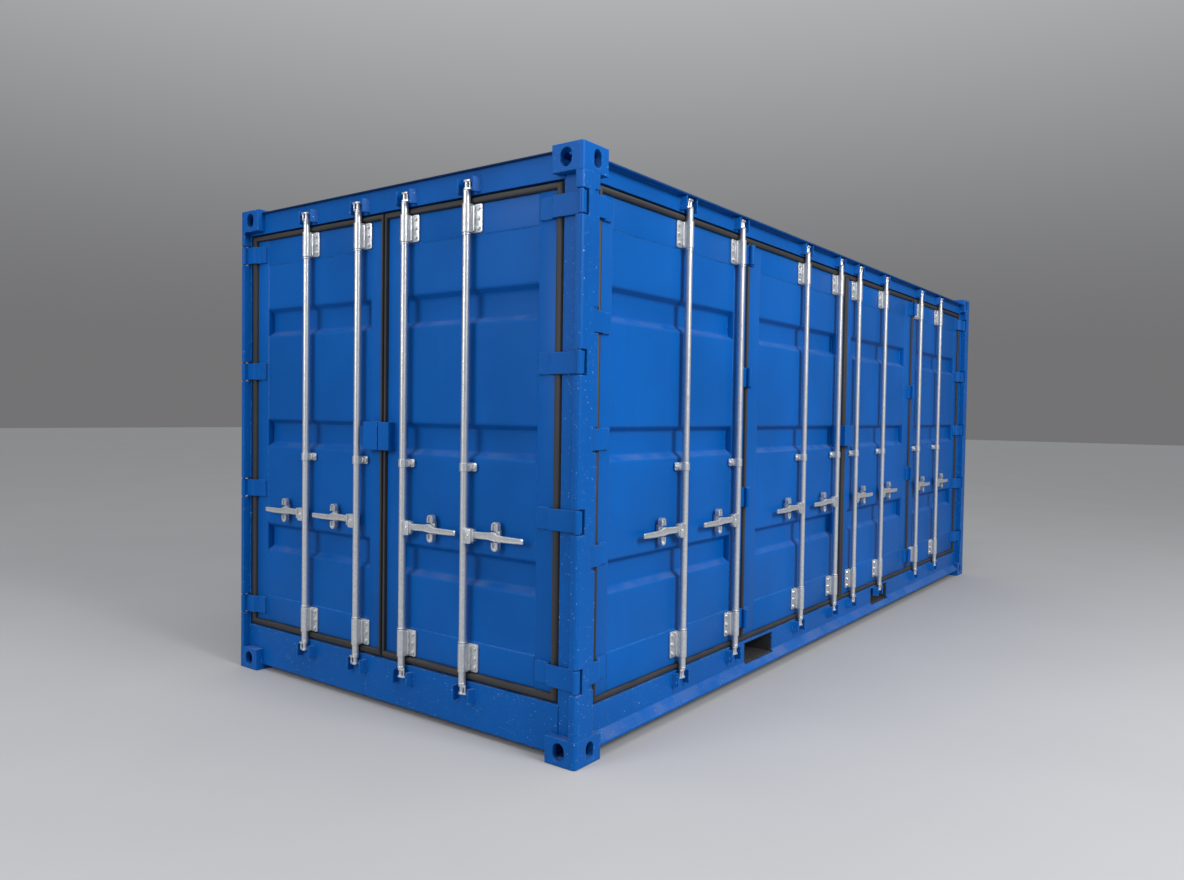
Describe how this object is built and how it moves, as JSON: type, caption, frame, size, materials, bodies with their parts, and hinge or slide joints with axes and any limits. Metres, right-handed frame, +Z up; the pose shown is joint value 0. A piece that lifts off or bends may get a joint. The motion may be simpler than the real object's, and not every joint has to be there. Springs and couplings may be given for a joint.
{
  "type": "side-opening shipping container",
  "caption": "Steel cargo box with corrugated roof and walls, hinged end doors, folding side doors, lock rods, corner castings and forklift pockets.",
  "frame": {"origin": "centre of the footprint, on the plane under the bottom corner castings", "axes": "+X along the length, from the door end to the rear end; +Y across, from the folding side doors to the plain side; +Z up"},
  "size_m": [6.058, 2.438, 2.591],
  "materials": {
    "frame_paint": "semi-gloss",
    "door_paint": "semi-gloss",
    "panel_paint": "semi-gloss",
    "roof_paint": "semi-gloss",
    "hinge_paint": "semi-gloss",
    "underframe_paint": "matte",
    "lock_steel": "galvanised, satin",
    "gasket_rubber": "matte",
    "floor_wood": "oiled plywood"
  },
  "bodies": {
    "root": {"bottom_castings": "frame_paint", "top_castings": "frame_paint", "door_post_near": "frame_paint", "door_post_far": "frame_paint", "rear_post_near": "frame_paint", "rear_post_far": "frame_paint", "door_header": "frame_paint", "door_sill": "frame_paint", "rear_header": "frame_paint", "rear_sill": "frame_paint", "side_header": "frame_paint", "side_sill": "frame_paint", "far_top_rail": "frame_paint", "far_bottom_rail": "frame_paint", "far_wall": "panel_paint", "rear_wall": "panel_paint", "roof_panel": "roof_paint", "floor_boards": "floor_wood", "underframe": "underframe_paint", "side_leaf_1": "door_paint", "side_leaf_2": "door_paint", "side_leaf_3": "door_paint", "side_leaf_4": "door_paint", "side_gaskets": "gasket_rubber", "side_hinges": "hinge_paint", "side_leaf_fittings": "lock_steel", "end_keepers": "frame_paint", "side_keepers": "frame_paint", "side_lock_box": "door_paint"},
    "near_door": {"near_leaf": "door_paint", "near_leaf_gasket": "gasket_rubber", "near_leaf_hinges": "hinge_paint", "near_leaf_fittings": "lock_steel", "near_lock_tab": "door_paint"},
    "far_door": {"far_leaf": "door_paint", "far_leaf_gasket": "gasket_rubber", "far_leaf_hinges": "hinge_paint", "far_leaf_fittings": "lock_steel", "far_lock_box": "door_paint"},
    "end_rod_1": {"end_rod_1": "lock_steel"},
    "end_rod_2": {"end_rod_2": "lock_steel"},
    "end_rod_3": {"end_rod_3": "lock_steel"},
    "end_rod_4": {"end_rod_4": "lock_steel"},
    "side_rod_1": {"side_rod_1": "lock_steel"},
    "side_rod_2": {"side_rod_2": "lock_steel"},
    "side_rod_3": {"side_rod_3": "lock_steel"},
    "side_rod_4": {"side_rod_4": "lock_steel"},
    "side_rod_5": {"side_rod_5": "lock_steel"},
    "side_rod_6": {"side_rod_6": "lock_steel"},
    "side_rod_7": {"side_rod_7": "lock_steel"},
    "side_rod_8": {"side_rod_8": "lock_steel"}
  },
  "joints": [
    {"name": "near_door_hinge", "type": "hinge", "parent": "root", "child": "near_door", "pos_m": [-3.016, -1.205, 1.35], "axis": [0, 0, 1], "range_deg": [0, 260]},
    {"name": "far_door_hinge", "type": "hinge", "parent": "root", "child": "far_door", "pos_m": [-3.016, 1.205, 1.35], "axis": [0, 0, -1], "range_deg": [0, 260]},
    {"name": "end_rod_1_turn", "type": "hinge", "parent": "far_door", "child": "end_rod_1", "pos_m": [-3.007, 0.639, 1.35], "axis": [0, 0, -1], "range_deg": [-95, 0]},
    {"name": "end_rod_2_turn", "type": "hinge", "parent": "far_door", "child": "end_rod_2", "pos_m": [-3.007, 0.216, 1.35], "axis": [0, 0, -1], "range_deg": [-95, 0]},
    {"name": "end_rod_3_turn", "type": "hinge", "parent": "near_door", "child": "end_rod_3", "pos_m": [-3.007, -0.13, 1.35], "axis": [0, 0, 1], "range_deg": [-95, 0]},
    {"name": "end_rod_4_turn", "type": "hinge", "parent": "near_door", "child": "end_rod_4", "pos_m": [-3.007, -0.544, 1.35], "axis": [0, 0, 1], "range_deg": [-95, 0]},
    {"name": "side_rod_1_turn", "type": "hinge", "parent": "root", "child": "side_rod_1", "pos_m": [-2.142, -1.197, 1.35], "axis": [0, 0, -1], "range_deg": [-95, 0]},
    {"name": "side_rod_2_turn", "type": "hinge", "parent": "root", "child": "side_rod_2", "pos_m": [-1.587, -1.197, 1.35], "axis": [0, 0, -1], "range_deg": [-95, 0]},
    {"name": "side_rod_3_turn", "type": "hinge", "parent": "root", "child": "side_rod_3", "pos_m": [-0.722, -1.197, 1.35], "axis": [0, 0, -1], "range_deg": [-95, 0]},
    {"name": "side_rod_4_turn", "type": "hinge", "parent": "root", "child": "side_rod_4", "pos_m": [-0.173, -1.197, 1.35], "axis": [0, 0, -1], "range_deg": [-95, 0]},
    {"name": "side_rod_5_turn", "type": "hinge", "parent": "root", "child": "side_rod_5", "pos_m": [0.173, -1.197, 1.35], "axis": [0, 0, 1], "range_deg": [-95, 0]},
    {"name": "side_rod_6_turn", "type": "hinge", "parent": "root", "child": "side_rod_6", "pos_m": [0.722, -1.197, 1.35], "axis": [0, 0, 1], "range_deg": [-95, 0]},
    {"name": "side_rod_7_turn", "type": "hinge", "parent": "root", "child": "side_rod_7", "pos_m": [1.587, -1.197, 1.35], "axis": [0, 0, 1], "range_deg": [-95, 0]},
    {"name": "side_rod_8_turn", "type": "hinge", "parent": "root", "child": "side_rod_8", "pos_m": [2.142, -1.197, 1.35], "axis": [0, 0, 1], "range_deg": [-95, 0]}
  ]
}
